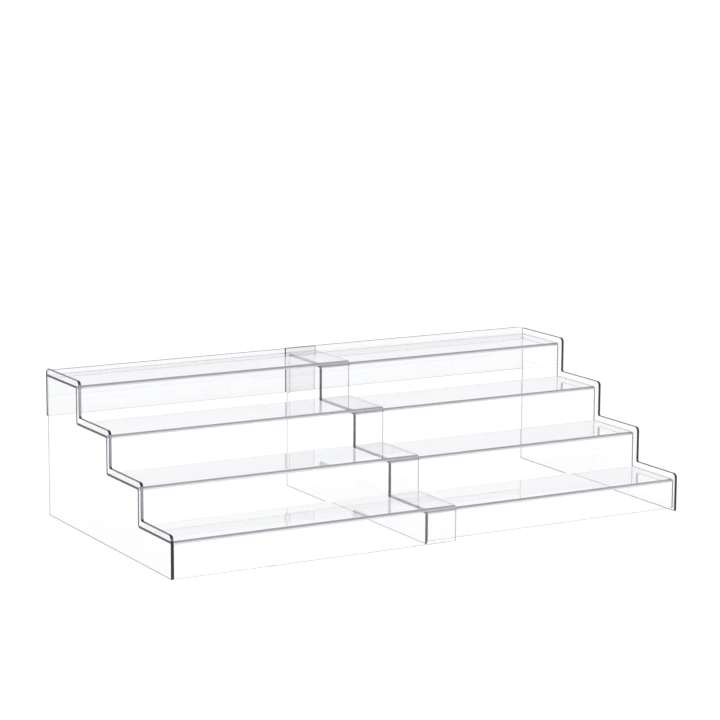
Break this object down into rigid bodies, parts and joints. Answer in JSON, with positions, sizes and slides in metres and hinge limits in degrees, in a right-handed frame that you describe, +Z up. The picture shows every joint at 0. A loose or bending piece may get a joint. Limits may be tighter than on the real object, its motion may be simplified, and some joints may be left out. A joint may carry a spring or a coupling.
{
  "type": "tiered shelf riser",
  "caption": "Clear acrylic stepped shelf riser made of nesting open-backed units that telescope sideways to change width, for lining up jars and tins in rising rows.",
  "frame": {"origin": "middle of the footprint on the surface it stands on, with the units drawn out to the working length", "axes": "+X along the treads from the outer unit to the inner unit, -Y out of the low front, +Y towards the high back, +Z up"},
  "size_m": [0.594, 0.3028, 0.1565],
  "materials": {
    "clear_sheet": "clear polished acrylic sheet, heat-bent",
    "clear_panel": "clear polished acrylic plate with polished edges"
  },
  "bodies": {
    "inner_unit": {"inner_stepped_sheet": "clear_sheet", "inner_support_panel": "clear_sheet", "inner_back_rail": "clear_sheet", "right_end_panel": "clear_panel"},
    "outer_unit": {"outer_stepped_sheet": "clear_sheet", "left_end_panel": "clear_panel", "outer_back_rail": "clear_sheet"}
  },
  "joints": [
    {"name": "unit_slide", "type": "slide", "parent": "inner_unit", "child": "outer_unit", "axis": [1, 0, 0], "range_m": [-0.013, 0.272]}
  ]
}
